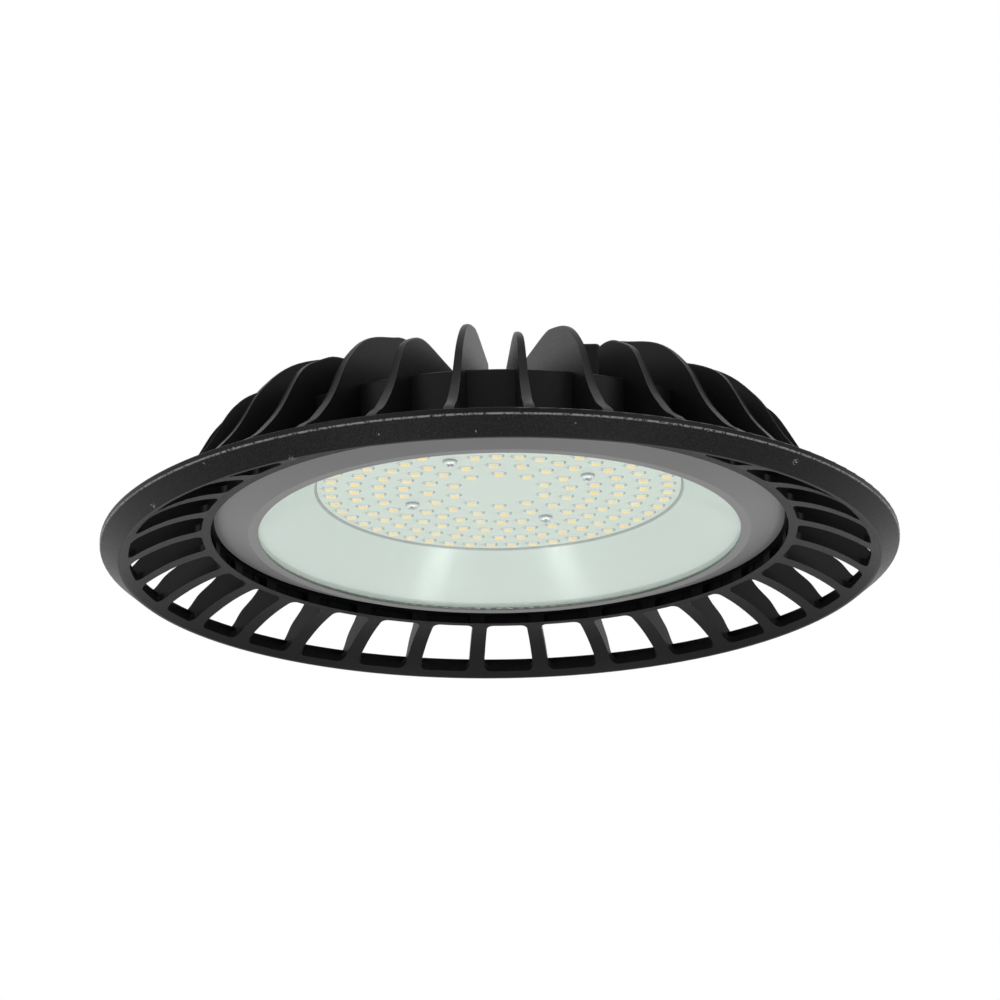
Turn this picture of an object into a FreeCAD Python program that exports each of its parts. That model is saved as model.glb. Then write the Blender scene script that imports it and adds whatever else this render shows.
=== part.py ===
"""High bay light: a round LED luminaire for high ceilings, hung over a hall floor.

One aluminium die casting carries everything.  Its drum holds the LED board behind a white
reflector and a glass, its 32 radial fins shed the heat, and a slotted bell joins the drum's
hoop to a heavy rim that protects the edge.  A cup cast on top of the drum holds the driver
under a lid, whose boss takes the hanger.

Millimetres, +Z up, the light shining down.  The origin is the centre of the rim's lower
face, on which the light stands when it is put down.
"""
import FreeCAD, Part
import math
import os

V = FreeCAD.Vector
UP = V(0, 0, 1)

# ---- Driving dimensions -------------------------------------------------------------------

# Rim
RIM_R = 165.0              # outer radius of the rim, and so of the light
RIM_H = 8.8                # height of the rim
RIM_STRIP_H = 2.5          # upright strip round the rim's top
RIM_TOP_W = 9.8            # width of the rim's top face
RIM_BOTTOM_W = 11.8        # radial width from the outer edge to the slots
RIM_SLOPE_W = 7.6          # radial width of the slope from the foot to the outer edge
RIM_FOOT_W = 1.2           # flat ring under the rim, on which the light stands
RIM_EDGE_R = 0.6           # rounding of the rim's edges

# Slotted bell and hoop
HOOP_FACE_Z = 15.0         # hoop's lower face above the rim's
HOOP_R = 123.6             # outer radius of the hoop, where the slots begin
HOOP_WALL = 3.7            # wall of the hoop
BELL_T = 3.0               # wall of the bell, measured upright
BELL_SAG = 2.2             # how far the bell swells out from a straight cone
RIB_W_IN = 6.4             # width of a rib at the hoop
RIB_W_OUT = 7.3            # width of a rib at the rim
SLOT_CORNER_R = 3.0        # rounding of the slots' corners
POCKET_COUNT = 28          # blind pockets in the hoop's inner wall
POCKET_TURN = 5.0          # angle of the bar between two pockets from the +Y axis, in degrees
POCKET_W = 20.2
POCKET_D = 2.2
POCKET_H = 4.0
POCKET_SILL = 0.3          # metal below the pockets
POCKET_CORNER_R = 1.6      # rounding of the pockets' upper corners

# Drum
DRUM_R = 111.5             # outer radius of the drum
DRUM_WALL = 3.0            # wall of the drum
DRUM_EDGE_R = 1.2          # rounding of the drum's top edge
FLANGE_T = 3.5             # flange between hoop and drum
FLANGE_Z = 21.5            # flange's lower face
SLAB_T = 4.5               # slab behind the LED board, which closes the drum

# Fins
FIN_COUNT = 32
FIN_TURN = 4.35            # angle of the first fin from the -Y axis, in degrees
FIN_TOP_Z = 77.2           # top of the tall fins
FIN_SHORT_Z = 66.7         # top of the short fins
FIN_SHORT_IN = 56.0        # radius of the short fins' inner ends
FIN_SHORT_STOP_IN = 90.0   # and of those that would run into a bracket boss
FIN_STOP_IN = 68.0         # inner end of the two tall fins that stop at a bracket boss
FIN_FOOT_T = 4.0           # fin's thickness level with the hoop's face
FIN_TIP_T = 2.1            # fin's thickness at the top of a tall fin
FIN_EDGE_R = 0.8           # rounding of the fins' edges
FIN_END_R = 3.0            # rounding of a fin's inner upper corner
FIN_LID_GAP = 1.2          # tall fins' inner ends, clear of the lid

# Driver cup and bracket bosses, cast on the slab
CUP_R = 38.0
CUP_WALL = 3.0
CUP_TOP_Z = 72.0
CUP_FLOOR_T = 3.0
PILLAR_R = 4.5             # screw pillars inside the cup
BOSS_X = 34.5              # bracket bosses, from the centre
BOSS_Y = 48.0
BOSS_W = 15.0              # along X
BOSS_D = 14.0              # along Y
BOSS_TOP_Z = 79.5
BOSS_CORNER_R = 2.0
BOSS_THREAD_R = 2.5        # wall of an M6 thread, cut with a 5 mm drill
BOSS_THREAD_L = 16.0

# LED board
BOARD_R = 76.2
BOARD_T = 1.6
BOARD_Z = 39.1             # board's lower face, which carries the LEDs
PAD_T = 0.5                # thermal pad between board and slab
PAD_INSET = 1.2
LED_L = 3.5                # LED package, long side along X
LED_W = 2.8
LED_T = 0.75
LED_RING_R = 19.7          # radius of the first ring of LEDs
LED_RING_PITCH = 10.25     # from one ring to the next
LED_TURN = 18.2            # angle of the rings' common axis from -Y, in degrees
BOARD_SCREW_R = 1.25
BOARD_HEAD_R = 2.95
BOARD_HEAD_H = 1.9
BOARD_SCREW_L = 4.0        # length of screw in the slab
BOARD_SCREW_SPREAD = 47.8  # angle from the rings' axis to a screw, in degrees
BOARD_HOLE_GAP = 0.35      # play round the screws in board and pad

# Reflector, glass and bezel
OPENING_R = 100.3          # radius of the light opening
BEZEL_RISE = 5.2           # how far the bezel's face slopes up to its outer edge
BEZEL_EDGE_T = 1.0
BEZEL_LIP_T = 0.7          # bezel's lip below the glass
BEZEL_LIP_W = 4.0          # width of that lip, which lies flat
BEZEL_GAP = 1.3            # ring of play round the bezel
GLASS_T = 4.0
GLASS_LAP = 2.2            # how far the glass reaches over the bezel's lip
SEAL_T = 0.8               # silicone round the glass's edge
REFLECTOR_T = 1.2
REFLECTOR_MOUTH_W = 1.6    # how far the reflector's mouth stands back from the light opening
REFLECTOR_GLASS_GAP = 0.1
REFLECTOR_BOARD_GAP = 0.4  # play between reflector and the board's edge
REFLECTOR_SLAB_GAP = 0.2
GASKET_R = 111.0           # middle radius of the bezel's gasket
GASKET_W = 3.4
GASKET_GROOVE_D = 1.2
STUD_COUNT = 8
STUD_CIRCLE_R = 115.3
STUD_R = 1.5
STUD_HOLE_GAP = 0.25
STUD_STICK = 0.2           # end of a stud above its nut
WASHER_R = 3.5
WASHER_T = 0.5
NUT_AF = 5.5
NUT_H = 1.8                # thin nuts

# Lid with its boss and fittings
LID_R = 37.4
LID_T = 2.2
LID_GASKET_T = 0.8
LID_SCREW_CIRCLE_R = 31.0
LID_SCREW_ANGLES = (90, 210, 330)
LID_SCREW_R = 1.65
LID_HEAD_R = 3.6
LID_HEAD_H = 2.4
LID_SCREW_L = 12.0         # length of screw in the pillar
LID_HOLE_GAP = 0.45
HANGER_BOSS_R = 9.0
HANGER_BOSS_TOP = 6.0      # boss above the lid's top
HANGER_BOSS_BELOW = 5.3    # boss below the lid's underside
HANGER_THREAD_R = 4.25     # wall of an M10 thread, cut with an 8.5 mm drill
HANGER_THREAD_L = 11.0
FITTING_CIRCLE_R = 22.0    # gland and vent, from the centre
GLAND_ANGLE = 30
VENT_ANGLE = 150
GLAND_THREAD_R = 8.0
GLAND_BORE_R = 5.0
GLAND_HEX_AF = 18.0
GLAND_HEX_H = 5.0
GLAND_COLLAR_H = 6.0       # collar above the hexagon, under the dome nut
GLAND_TAIL = 5.5           # thread below the lid's underside
GLAND_NUT_H = 14.0
CABLE_R = 3.6              # hole through the gland's rubber seal
LOCKNUT_AF = 19.0
LOCKNUT_H = 3.5
VENT_THREAD_R = 6.0
VENT_HEX_AF = 15.0
VENT_HEX_H = 3.0
VENT_CAP_R = 6.4
VENT_CAP_H = 3.0
VENT_TAIL = 4.5

# Driver in the cup
DRIVER_R = 26.0
DRIVER_T = 1.6
STANDOFF_H = 5.0
STANDOFF_R = 2.4
STANDOFF_CIRCLE_R = 23.0
STANDOFF_ANGLES = (90, 200, 320)
DRIVER_SCREW_R = 1.25
DRIVER_HEAD_R = 2.6
DRIVER_HEAD_H = 1.8
SHEET_T = 0.5              # insulating sheet on the cup's floor
SHEET_INSET = 0.5
SHEET_GAP = 0.4
LEAD_HOLE_R = 5.2          # hole in the cup's floor for the LED leads
LEAD_R = 0.9
LEAD_PITCH = 3.6
GROMMET_FLANGE_W = 1.8
GROMMET_FLANGE_T = 0.8
GROMMET_PLUG_T = 1.0
PLUG_L = 7.0               # connector on the back of the LED board
PLUG_W = 5.0
PLUG_H = 2.3
EARTH_CIRCLE_R = 30.5
EARTH_SCREW_R = 1.65
EARTH_SCREW_L = 2.6
EARTH_HEAD_R = 3.3
EARTH_HEAD_H = 2.2

# ---- Values that follow ---------------------------------------------------------------------

SLOT_OUT_R = RIM_R - RIM_BOTTOM_W
FOOT_IN_R = RIM_R - RIM_SLOPE_W - RIM_FOOT_W
HOOP_IN_R = HOOP_R - HOOP_WALL
FLANGE_TOP_Z = FLANGE_Z + FLANGE_T
DRUM_IN_R = DRUM_R - DRUM_WALL
PAD_Z = BOARD_Z + BOARD_T
SEAT_Z = PAD_Z + PAD_T
SLAB_TOP_Z = SEAT_Z + SLAB_T
CUP_IN_R = CUP_R - CUP_WALL
CUP_FLOOR_Z = SEAT_Z + CUP_FLOOR_T
LID_Z = CUP_TOP_Z + LID_GASKET_T
LID_TOP_Z = LID_Z + LID_T
HANGER_TOP_Z = LID_TOP_Z + HANGER_BOSS_TOP
LIP_Z = HOOP_FACE_Z + BEZEL_LIP_T
GLASS_TOP_Z = LIP_Z + GLASS_T
GLASS_R = OPENING_R + GLASS_LAP
SEAL_R = GLASS_R + SEAL_T
BEZEL_R = HOOP_IN_R - BEZEL_GAP
BEZEL_BACK_Z = HOOP_FACE_Z + BEZEL_RISE + BEZEL_EDGE_T
DRIVER_Z = CUP_FLOOR_Z + STANDOFF_H
DRIVER_TOP_Z = DRIVER_Z + DRIVER_T
FIN_PITCH = 360 / FIN_COUNT


# ---- Small helpers --------------------------------------------------------------------------

def outline(corners):
    """A closed face in the XZ plane; a corner is (x, z) or (x, z, radius of its rounding)."""
    count = len(corners)
    cuts = []
    for i in range(count):
        here = V(corners[i][0], 0, corners[i][1])
        radius = corners[i][2] if len(corners[i]) > 2 else 0
        before = V(corners[i - 1][0], 0, corners[i - 1][1])
        after = V(corners[(i + 1) % count][0], 0, corners[(i + 1) % count][1])
        if not radius:
            cuts.append((here, None, here))
            continue
        back = (before - here).normalize()
        on = (after - here).normalize()
        half = back.getAngle(on) / 2
        reach = radius / math.tan(half)
        middle = (back + on).normalize()
        deep = radius / math.sin(half) - radius
        cuts.append((here + back * reach, here + middle * deep, here + on * reach))
    edges = []
    for i in range(count):
        start, bulge, end = cuts[i]
        if bulge:
            edges.append(Part.Arc(start, bulge, end).toShape())
        follow = cuts[(i + 1) % count][0]
        if end.distanceToPoint(follow) > 1e-6:
            edges.append(Part.LineSegment(end, follow).toShape())
    return Part.Face(Part.Wire(edges))


def turned(corners):
    """A ring or disc turned about the Z axis from its half section."""
    return outline(corners).revolve(V(0, 0, 0), UP, 360)


def cylinder(radius, height, x=0, y=0, z=0):
    return Part.makeCylinder(radius, height, V(x, y, z), UP)


def tube(outer, inner, height, x=0, y=0, z=0):
    return cylinder(outer, height, x, y, z).cut(cylinder(inner, height, x, y, z))


def block(length, width, height, x=0, y=0, z=0):
    """A box standing at z, centred on x and y."""
    return Part.makeBox(length, width, height, V(x - length / 2, y - width / 2, z))


def hexagon(across_flats, height, x=0, y=0, z=0):
    radius = across_flats / math.sqrt(3)
    points = [polar(radius, 60 * i, z) + V(x, y, 0) for i in range(7)]
    return Part.Face(Part.makePolygon(points)).extrude(V(0, 0, height))


def polar(radius, degrees, z=0):
    angle = math.radians(degrees)
    return V(radius * math.cos(angle), radius * math.sin(angle), z)


def spun(shape, degrees):
    """A copy of the shape, turned about the Z axis."""
    copy = shape.copy()
    copy.rotate(V(0, 0, 0), UP, degrees)
    return copy


def pan_screw(spot, axis, head_radius, head_height, radius, length):
    """A pan head screw whose head's seat is at spot, with its shank running along axis."""
    head = Part.makeCylinder(head_radius, head_height, spot - axis * head_height, axis)
    rim = [edge for edge in head.Edges
           if edge.Closed and abs((edge.CenterOfMass - spot).dot(axis) + head_height) < 1e-6]
    head = head.makeFillet(head_height * 0.45, rim)
    return head.fuse(Part.makeCylinder(radius, length, spot, axis))


def save(name, shape):
    shape.exportStep("parts/" + name + ".step")


def save_group(name, shapes):
    save(name, Part.makeCompound(shapes))


# ---- Housing: the casting -------------------------------------------------------------------

def bell_lower(share):
    """A point on the bell's lower face, from the hoop (0) to the rim's foot (1)."""
    run = FOOT_IN_R - HOOP_R
    length = math.hypot(run, HOOP_FACE_Z)
    swell = 4 * BELL_SAG * share * (1 - share)
    return V(HOOP_R + run * share + swell * HOOP_FACE_Z / length, 0,
             HOOP_FACE_Z * (1 - share) + swell * run / length)


def bell_arc(lift):
    """The bell's lower face as an arc, lifted by some millimetres."""
    up = V(0, 0, lift)
    return Part.Arc(bell_lower(0) + up, bell_lower(0.5) + up, bell_lower(1) + up)


def rim():
    inner = RIM_R - RIM_TOP_W
    return turned([(FOOT_IN_R, 0), (FOOT_IN_R + RIM_FOOT_W, 0, RIM_EDGE_R),
                   (RIM_R, RIM_H - RIM_STRIP_H, RIM_EDGE_R), (RIM_R, RIM_H, RIM_EDGE_R),
                   (inner, RIM_H, RIM_EDGE_R), (inner, BELL_T / 2)])


def ribs():
    """Tapered bars over the whole bell, one under each fin."""
    bars = []
    for i in range(FIN_COUNT):
        inner = HOOP_IN_R - HOOP_WALL
        outer = RIM_R
        corners = [V(inner, -RIB_W_IN / 2, 0), V(outer, -RIB_W_OUT / 2, 0),
                   V(outer, RIB_W_OUT / 2, 0), V(inner, RIB_W_IN / 2, 0)]
        bar = Part.Face(Part.makePolygon(corners + corners[:1]))
        bar.translate(V(0, 0, -RIM_H))
        bar = bar.extrude(V(0, 0, RIM_H + FLANGE_TOP_Z))
        bars.append(spun(bar, fin_angle(i)))
    return bars


def slot():
    """The gap that the first two ribs leave in the bell, with rounded corners."""
    low = -1
    high = HOOP_FACE_Z + BELL_T + 1
    ring = tube(SLOT_OUT_R, HOOP_R, high - low, z=low)
    middle = polar((SLOT_OUT_R + HOOP_R) / 2, fin_angle(0.5), (low + high) / 2)
    gap = [gap for gap in ring.cut(ribs()[:2]).Solids if gap.isInside(middle, 1e-3, True)][0]
    upright = [edge for edge in gap.Edges if abs(edge.tangentAt(edge.FirstParameter).z) > 0.99]
    return gap.makeFillet(SLOT_CORNER_R, upright)


def pocket():
    """A pocket on the X axis, with rounded upper corners."""
    low = HOOP_FACE_Z + POCKET_SILL
    gap = block(HOOP_WALL + POCKET_D, POCKET_W, POCKET_H, HOOP_IN_R + (POCKET_D - HOOP_WALL) / 2, 0, low)
    upper = [edge for edge in gap.Edges
             if edge.CenterOfMass.z > low + POCKET_H - 1e-3 and abs(edge.CenterOfMass.y) > 1]
    return gap.makeFillet(POCKET_CORNER_R, upper)


def bell_and_rim():
    low = bell_arc(0)
    high = bell_arc(BELL_T)
    edges = [low.toShape(), Part.LineSegment(low.EndPoint, high.EndPoint).toShape(),
             high.toShape(), Part.LineSegment(high.StartPoint, low.StartPoint).toShape()]
    shell = Part.Face(Part.Wire(Part.__sortEdges__(edges))).revolve(V(0, 0, 0), UP, 360)
    first = slot()
    return shell.fuse(rim()).cut([spun(first, FIN_PITCH * i) for i in range(FIN_COUNT)])


def drum():
    section = [(0, SEAT_Z), (DRUM_IN_R, SEAT_Z), (DRUM_IN_R, FLANGE_Z), (HOOP_IN_R, FLANGE_Z),
               (HOOP_IN_R, HOOP_FACE_Z), (HOOP_R, HOOP_FACE_Z), (HOOP_R, FLANGE_TOP_Z, 1),
               (DRUM_R, FLANGE_TOP_Z), (DRUM_R, SLAB_TOP_Z, DRUM_EDGE_R), (CUP_R, SLAB_TOP_Z),
               (CUP_R, CUP_TOP_Z), (CUP_IN_R, CUP_TOP_Z), (CUP_IN_R, CUP_FLOOR_Z), (0, CUP_FLOOR_Z)]
    body = turned(section)
    groove = tube(GASKET_R + GASKET_W / 2, GASKET_R - GASKET_W / 2, GASKET_GROOVE_D, z=FLANGE_Z)
    first = pocket()
    turn = 90 + POCKET_TURN + 180 / POCKET_COUNT
    cuts = [spun(first, turn + 360 / POCKET_COUNT * i) for i in range(POCKET_COUNT)] + [groove]
    for angle in stud_angles():
        spot = polar(STUD_CIRCLE_R, angle, FLANGE_Z)
        cuts.append(cylinder(STUD_R + STUD_HOLE_GAP, FLANGE_T, spot.x, spot.y, spot.z))
    return body.cut(cuts)


def fin_angle(number):
    return -90 + FIN_TURN + FIN_PITCH * number


def stud_angles():
    return [fin_angle(0.5 + i * FIN_COUNT / STUD_COUNT) for i in range(STUD_COUNT)]


def fin_section(top_z, inner_r, end_r, inset, half):
    """Outline of a fin in one of its leaning planes, drawn in by inset all along its free edges.

    The edge is S-shaped from the rim to a level top, and the foot is sunk in the casting.  The
    plane stands off the fin's middle by half a thickness that shrinks upwards.
    """
    lean = (FIN_FOOT_T - FIN_TIP_T) / 2 / (FIN_TOP_Z - HOOP_FACE_Z)
    side = 1 if half > 0 else -1

    def at(x, z):
        return V(x, half - side * lean * (z - HOOP_FACE_Z), z)

    rise = FIN_TOP_Z - RIM_H
    shared = [(6.5, 0.0), (14.0, 0.094), (21.3, 0.167), (27.3, 0.249), (32.6, 0.338), (36.7, 0.426),
              (40.1, 0.515), (43.6, 0.607), (48.0, 0.694)]
    run = RIM_R - inner_r - end_r
    if top_z == FIN_TOP_Z:
        upper = [(63.0, 0.872), (81.0, 0.968), (min(101.0, run), 1.0)]
    else:
        upper = [(57.5, 0.785), (run, (top_z - RIM_H) / rise)]
    edge = shared + upper
    edge = [(RIM_R - run, RIM_H + rise * share) for run, share in edge]
    drawn_in = []
    for i, (x, z) in enumerate(edge):
        before, after = edge[max(i - 1, 0)], edge[min(i + 1, len(edge) - 1)]
        along = V(after[0] - before[0], 0, after[1] - before[1]).normalize()
        drawn_in.append((x + inset * along.z, z + inset * along.x))
    drawn_in[-1] = (edge[-1][0], top_z - inset)
    curve = Part.BSplineCurve()
    curve.interpolate(Points=[at(x, z) for x, z in drawn_in],
                      InitialTangent=V(-1, -side * lean * 0.25, 0.25), FinalTangent=V(-1, 0, 0))
    edges = [curve.toShape()]
    end = (inner_r + end_r, top_z - inset)
    if edge[-1][0] - end[0] > 1e-6:
        edges.append(Part.LineSegment(at(*drawn_in[-1]), at(*end)).toShape())
    reach = (end_r - inset) * math.sqrt(0.5)
    turn = (inner_r + end_r - reach, top_z - end_r + reach)
    corner = (inner_r + inset, top_z - end_r)
    edges.append(Part.Arc(at(*end), at(*turn), at(*corner)).toShape())
    web = [bell_lower(share) + V(0, 0, BELL_T / 2) for share in (0, 0.25, 0.5, 0.75, 1)]
    mid_slab = (SEAT_Z + SLAB_TOP_Z) / 2
    mid_flange = (FLANGE_Z + FLANGE_TOP_Z) / 2
    wall = DRUM_R - DRUM_WALL / 2
    foot = [corner]
    if inner_r < CUP_R + FIN_LID_GAP + 1:
        foot += [(corner[0], CUP_TOP_Z - 2), (CUP_R - CUP_WALL / 2, CUP_TOP_Z - 3),
                 (CUP_R - CUP_WALL / 2, mid_slab)]
    else:
        foot.append((corner[0], mid_slab))
    foot += [(wall, mid_slab), (wall, mid_flange), (HOOP_R - HOOP_WALL / 2, mid_flange),
             (HOOP_R - HOOP_WALL / 2, web[0].z)]
    foot += [(spot.x, spot.z) for spot in web]
    foot += [(drawn_in[0][0], RIM_H / 2), drawn_in[0]]
    for start, stop in zip(foot, foot[1:]):
        edges.append(Part.LineSegment(at(*start), at(*stop)).toShape())
    return Part.Wire(edges)


def fin(top_z, inner_r, end_r):
    """A fin in the XZ plane with draft and with rounded edges, each rounding in two steps."""
    sections = []
    step = FIN_EDGE_R * (1 - math.sqrt(0.5))
    half = FIN_FOOT_T / 2
    for inset, depth in ((FIN_EDGE_R, 0), (step, step), (0, FIN_EDGE_R)):
        sections.append(fin_section(top_z, inner_r, end_r, inset, half - depth))
    for inset, depth in ((0, FIN_EDGE_R), (step, step), (FIN_EDGE_R, 0)):
        sections.append(fin_section(top_z, inner_r, end_r, inset, depth - half))
    return Part.makeLoft(sections, True, True)


def fins():
    """Short and tall fins in turn; those that would run into a bracket boss stop before it."""
    tall = fin(FIN_TOP_Z, CUP_R + FIN_LID_GAP, 2 * FIN_EDGE_R)
    tall_stopped = fin(FIN_TOP_Z, FIN_STOP_IN, FIN_END_R)
    short = fin(FIN_SHORT_Z, FIN_SHORT_IN, FIN_END_R)
    short_stopped = fin(FIN_SHORT_Z, FIN_SHORT_STOP_IN, FIN_END_R)
    made = []
    for i in range(FIN_COUNT):
        if i % 2:
            kind = tall_stopped if boss_gap(i, FIN_STOP_IN - FIN_END_R) else tall
        else:
            kind = short_stopped if boss_gap(i, FIN_SHORT_IN) else short
        made.append(spun(kind, fin_angle(i)))
    return made


def boss_gap(number, inner_r):
    """Whether a fin reaching in to that radius would come within its own thickness of a boss."""
    angle = math.radians(fin_angle(number))
    along = V(math.cos(angle), math.sin(angle), 0)
    for spot in boss_spots():
        ahead = spot.dot(along)
        aside = abs(spot.x * along.y - spot.y * along.x)
        corner = abs(BOSS_W / 2 * along.y) + abs(BOSS_D / 2 * along.x)
        if ahead > 0 and aside < corner + FIN_FOOT_T / 2:
            return True
    return False


def boss_spots():
    return [V(x * BOSS_X, y * BOSS_Y, 0) for x in (-1, 1) for y in (-1, 1)]


def bosses():
    made = []
    for spot in boss_spots():
        low = (SEAT_Z + SLAB_TOP_Z) / 2
        boss = block(BOSS_W, BOSS_D, BOSS_TOP_Z - low, spot.x, spot.y, low)
        soft = [edge for edge in boss.Edges if edge.CenterOfMass.z > low + 1]
        made.append(boss.makeFillet(BOSS_CORNER_R, soft))
    return made


def pillars():
    made = []
    for angle in LID_SCREW_ANGLES:
        spot = polar(LID_SCREW_CIRCLE_R, angle)
        low = (SEAT_Z + CUP_FLOOR_Z) / 2
        made.append(cylinder(PILLAR_R, LID_Z - low, spot.x, spot.y, low))
    return made


def board_screw_spots():
    angles = [turn + side * BOARD_SCREW_SPREAD for turn in (0, 180) for side in (-1, 1)]
    return [polar(LED_RING_R + 2 * LED_RING_PITCH, LED_TURN - 90 + angle) for angle in angles]


def housing():
    body = drum().fuse([bell_and_rim()] + fins() + bosses() + pillars())
    holes = [cylinder(LEAD_HOLE_R, SLAB_T, z=SEAT_Z)]
    for spot in boss_spots():
        holes.append(cylinder(BOSS_THREAD_R, BOSS_THREAD_L, spot.x, spot.y, BOSS_TOP_Z - BOSS_THREAD_L))
    for angle in LID_SCREW_ANGLES:
        spot = polar(LID_SCREW_CIRCLE_R, angle)
        holes.append(cylinder(LID_SCREW_R, LID_SCREW_L, spot.x, spot.y, LID_Z - LID_SCREW_L))
    for spot in board_screw_spots():
        holes.append(cylinder(BOARD_SCREW_R, BOARD_SCREW_L, spot.x, spot.y, SEAT_Z))
    for angle in STANDOFF_ANGLES:
        spot = polar(STANDOFF_CIRCLE_R, angle)
        holes.append(cylinder(DRIVER_SCREW_R, CUP_FLOOR_T / 2, spot.x, spot.y,
                              CUP_FLOOR_Z - CUP_FLOOR_T / 2))
    holes.append(cylinder(EARTH_SCREW_R, EARTH_SCREW_L, 0, -EARTH_CIRCLE_R,
                          CUP_FLOOR_Z - EARTH_SCREW_L))
    return body.cut(holes).removeSplitter()


# ---- Light engine: board, LEDs, pad and screws ---------------------------------------------

def led_spots():
    """Six rings on one axis; the third leaves out the LEDs that the screws displace."""
    spots = []
    counts = (10, 16, 0, 32, 40, 48)
    for ring, count in enumerate(counts):
        offset = 360 / count / 2 if ring == 0 else 0
        spots += [(ring, offset + 360 / max(count, 1) * i) for i in range(count)] if count else []
    pitch = 360 / 28
    for quarter in range(4):
        here = 6 - quarter % 2
        spots += [(2, 90 * quarter + pitch * (i - (here - 1) / 2)) for i in range(here)]
    return [polar(LED_RING_R + LED_RING_PITCH * ring, LED_TURN - 90 + angle) for ring, angle in spots]


def led_board():
    board = cylinder(BOARD_R, BOARD_T, z=BOARD_Z)
    return board.cut([cylinder(BOARD_SCREW_R + BOARD_HOLE_GAP, BOARD_T, spot.x, spot.y, BOARD_Z)
                      for spot in board_screw_spots()])


def thermal_pad():
    pad = tube(BOARD_R - PAD_INSET, LEAD_HOLE_R, PAD_T, z=PAD_Z)
    return pad.cut([cylinder(BOARD_SCREW_R + BOARD_HOLE_GAP, PAD_T, spot.x, spot.y, PAD_Z)
                    for spot in board_screw_spots()])


def led_chips():
    return [block(LED_L, LED_W, LED_T, spot.x, spot.y, BOARD_Z - LED_T) for spot in led_spots()]


def board_screws():
    through = BOARD_T + PAD_T + BOARD_SCREW_L
    return [pan_screw(spot + V(0, 0, BOARD_Z), UP, BOARD_HEAD_R, BOARD_HEAD_H, BOARD_SCREW_R, through)
            for spot in board_screw_spots()]


# ---- Optics: reflector, glass, seal, bezel and its fixings ----------------------------------

def reflector():
    small = BOARD_R + REFLECTOR_BOARD_GAP
    knee = BOARD_Z - REFLECTOR_SLAB_GAP
    top = SEAT_Z - REFLECTOR_SLAB_GAP
    low = GLASS_TOP_Z + REFLECTOR_GLASS_GAP
    mouth = OPENING_R + REFLECTOR_MOUTH_W
    return turned([(mouth, low), (mouth + REFLECTOR_T, low),
                   (small + REFLECTOR_T, knee + REFLECTOR_T, 0.8), (small + REFLECTOR_T, top),
                   (small, top), (small, knee, 0.8)])


def glass():
    return turned([(0, LIP_Z), (GLASS_R, LIP_Z, 0.4), (GLASS_R, GLASS_TOP_Z, 0.4), (0, GLASS_TOP_Z)])


def bezel():
    return turned([(OPENING_R, HOOP_FACE_Z, 0.2), (OPENING_R + BEZEL_LIP_W, HOOP_FACE_Z, 1),
                   (BEZEL_R, HOOP_FACE_Z + BEZEL_RISE, 0.3), (BEZEL_R, BEZEL_BACK_Z),
                   (SEAL_R, BEZEL_BACK_Z), (SEAL_R, LIP_Z), (OPENING_R, LIP_Z)])


def on_studs(make):
    """One of the same small piece on each stud."""
    spots = [polar(STUD_CIRCLE_R, angle) for angle in stud_angles()]
    return [make(spot.x, spot.y) for spot in spots]


def bezel_stud(x, y):
    height = FLANGE_TOP_Z + WASHER_T + NUT_H + STUD_STICK - BEZEL_BACK_Z
    return cylinder(STUD_R, height, x, y, BEZEL_BACK_Z)


def bezel_washer(x, y):
    return tube(WASHER_R, STUD_R, WASHER_T, x, y, FLANGE_TOP_Z)


def bezel_nut(x, y):
    z = FLANGE_TOP_Z + WASHER_T
    return hexagon(NUT_AF, NUT_H, x, y, z).cut(cylinder(STUD_R, NUT_H, x, y, z))


# ---- Lid: hanger boss, gasket, screws, gland and vent ---------------------------------------

GLAND_SPOT = polar(FITTING_CIRCLE_R, GLAND_ANGLE)
VENT_SPOT = polar(FITTING_CIRCLE_R, VENT_ANGLE)


def lid():
    plate = turned([(0, LID_Z - HANGER_BOSS_BELOW), (HANGER_BOSS_R, LID_Z - HANGER_BOSS_BELOW),
                    (HANGER_BOSS_R, LID_Z), (LID_R, LID_Z), (LID_R, LID_TOP_Z, 0.8),
                    (HANGER_BOSS_R + 1, LID_TOP_Z, 0.8), (HANGER_BOSS_R, HANGER_TOP_Z, 1),
                    (0, HANGER_TOP_Z)])
    holes = [cylinder(HANGER_THREAD_R, HANGER_THREAD_L, z=HANGER_TOP_Z - HANGER_THREAD_L),
             cylinder(GLAND_THREAD_R, LID_T, GLAND_SPOT.x, GLAND_SPOT.y, LID_Z),
             cylinder(VENT_THREAD_R, LID_T, VENT_SPOT.x, VENT_SPOT.y, LID_Z)]
    for angle in LID_SCREW_ANGLES:
        spot = polar(LID_SCREW_CIRCLE_R, angle)
        holes.append(cylinder(LID_SCREW_R + LID_HOLE_GAP, LID_T, spot.x, spot.y, LID_Z))
    return plate.cut(holes)


def lid_screws():
    spots = [polar(LID_SCREW_CIRCLE_R, angle, LID_TOP_Z) for angle in LID_SCREW_ANGLES]
    return [pan_screw(spot, V(0, 0, -1), LID_HEAD_R, LID_HEAD_H, LID_SCREW_R, LID_T + LID_SCREW_L)
            for spot in spots]


def gland_body():
    x, y = GLAND_SPOT.x, GLAND_SPOT.y
    body = hexagon(GLAND_HEX_AF, GLAND_HEX_H, x, y, LID_TOP_Z)
    body = body.fuse([cylinder(GLAND_THREAD_R, LID_T + GLAND_TAIL, x, y, LID_Z - GLAND_TAIL),
                      cylinder(GLAND_THREAD_R - 1, GLAND_COLLAR_H, x, y, LID_TOP_Z + GLAND_HEX_H)])
    height = GLAND_TAIL + LID_T + GLAND_HEX_H + GLAND_COLLAR_H
    return body.cut(cylinder(GLAND_BORE_R, height, x, y, LID_Z - GLAND_TAIL))


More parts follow.
